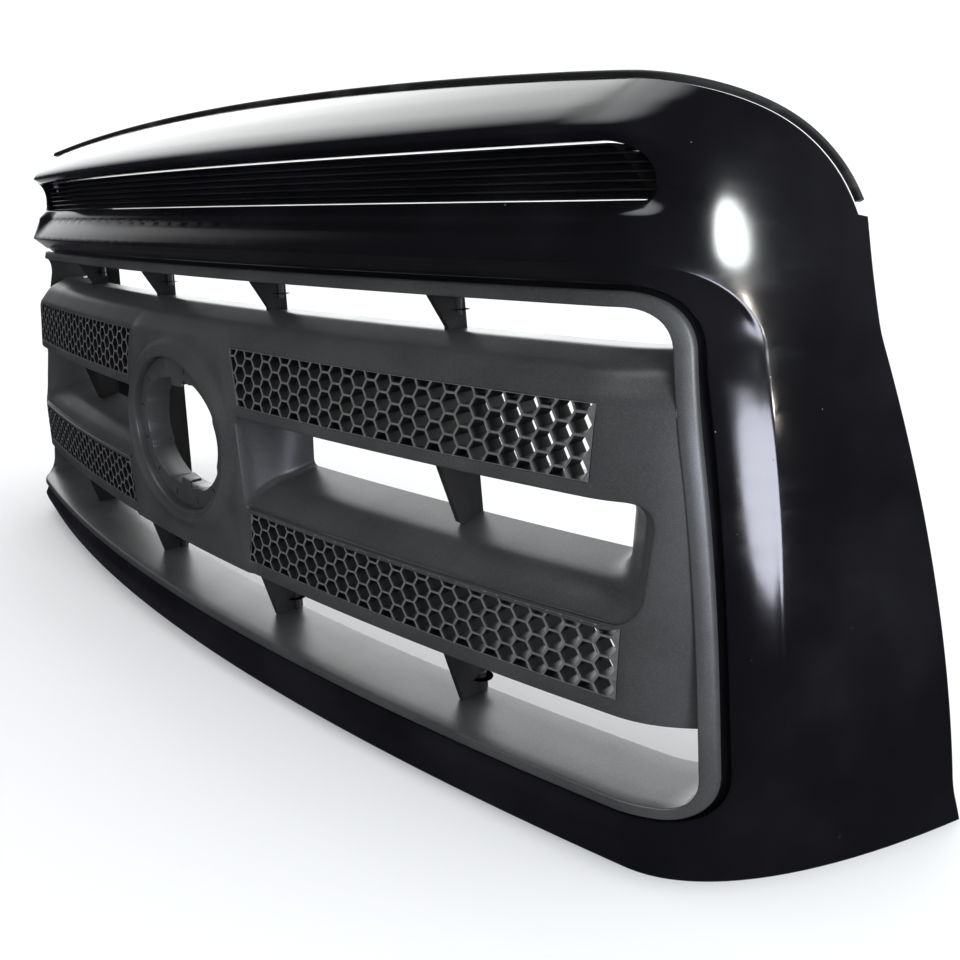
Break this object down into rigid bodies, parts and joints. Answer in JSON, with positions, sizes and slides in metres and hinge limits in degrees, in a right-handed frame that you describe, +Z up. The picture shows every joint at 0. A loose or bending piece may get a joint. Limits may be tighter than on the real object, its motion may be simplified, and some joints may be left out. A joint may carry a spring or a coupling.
{
  "type": "front grille",
  "caption": "Wide pickup front grille: gloss black surround with hood scoop, grey insert with two honeycomb bars and an oval emblem seat.",
  "frame": {"origin": "middle of the bounding box at its lowest level, the plane of the surround's lower edge", "axes": "+X across the grille towards its own left end as a driver sits, which is the right end seen from the front; the grille faces -Y; +Z up"},
  "size_m": [1.312, 0.2802, 0.5208],
  "materials": {
    "gloss_black": "gloss black",
    "satin_black": "satin black",
    "painted_grey": "fine-grained dark grey paint",
    "raw_black": "raw moulded black",
    "seal_rubber": "soft black rubber",
    "zinc_steel": "zinc plated"
  },
  "bodies": {
    "root": {"bar_panel": "painted_grey", "bracket_screw_left_1": "zinc_steel", "bracket_screw_left_2": "zinc_steel", "bracket_screw_right_1": "zinc_steel", "bracket_screw_right_2": "zinc_steel", "emblem_seat": "painted_grey", "frame_screw_low_1": "zinc_steel", "frame_screw_low_2": "zinc_steel", "frame_screw_low_3": "zinc_steel", "frame_screw_low_4": "zinc_steel", "frame_screw_top_1": "zinc_steel", "frame_screw_top_2": "zinc_steel", "frame_screw_top_3": "zinc_steel", "frame_screw_top_4": "zinc_steel", "hood_seal": "seal_rubber", "insert_frame": "painted_grey", "louvre_panel": "satin_black", "post_1": "raw_black", "post_2": "raw_black", "post_3": "raw_black", "post_4": "raw_black", "post_screw_low_1": "zinc_steel", "post_screw_low_2": "zinc_steel", "post_screw_low_3": "zinc_steel", "post_screw_low_4": "zinc_steel", "post_screw_top_1": "zinc_steel", "post_screw_top_2": "zinc_steel", "post_screw_top_3": "zinc_steel", "post_screw_top_4": "zinc_steel", "screen_lower_left": "raw_black", "screen_lower_right": "raw_black", "screen_upper_left": "raw_black", "screen_upper_right": "raw_black", "side_bracket_left": "zinc_steel", "side_bracket_right": "zinc_steel", "spring_nut_1": "zinc_steel", "spring_nut_2": "zinc_steel", "spring_nut_3": "zinc_steel", "spring_nut_4": "zinc_steel", "surround_shell": "gloss_black"}
  },
  "joints": []
}
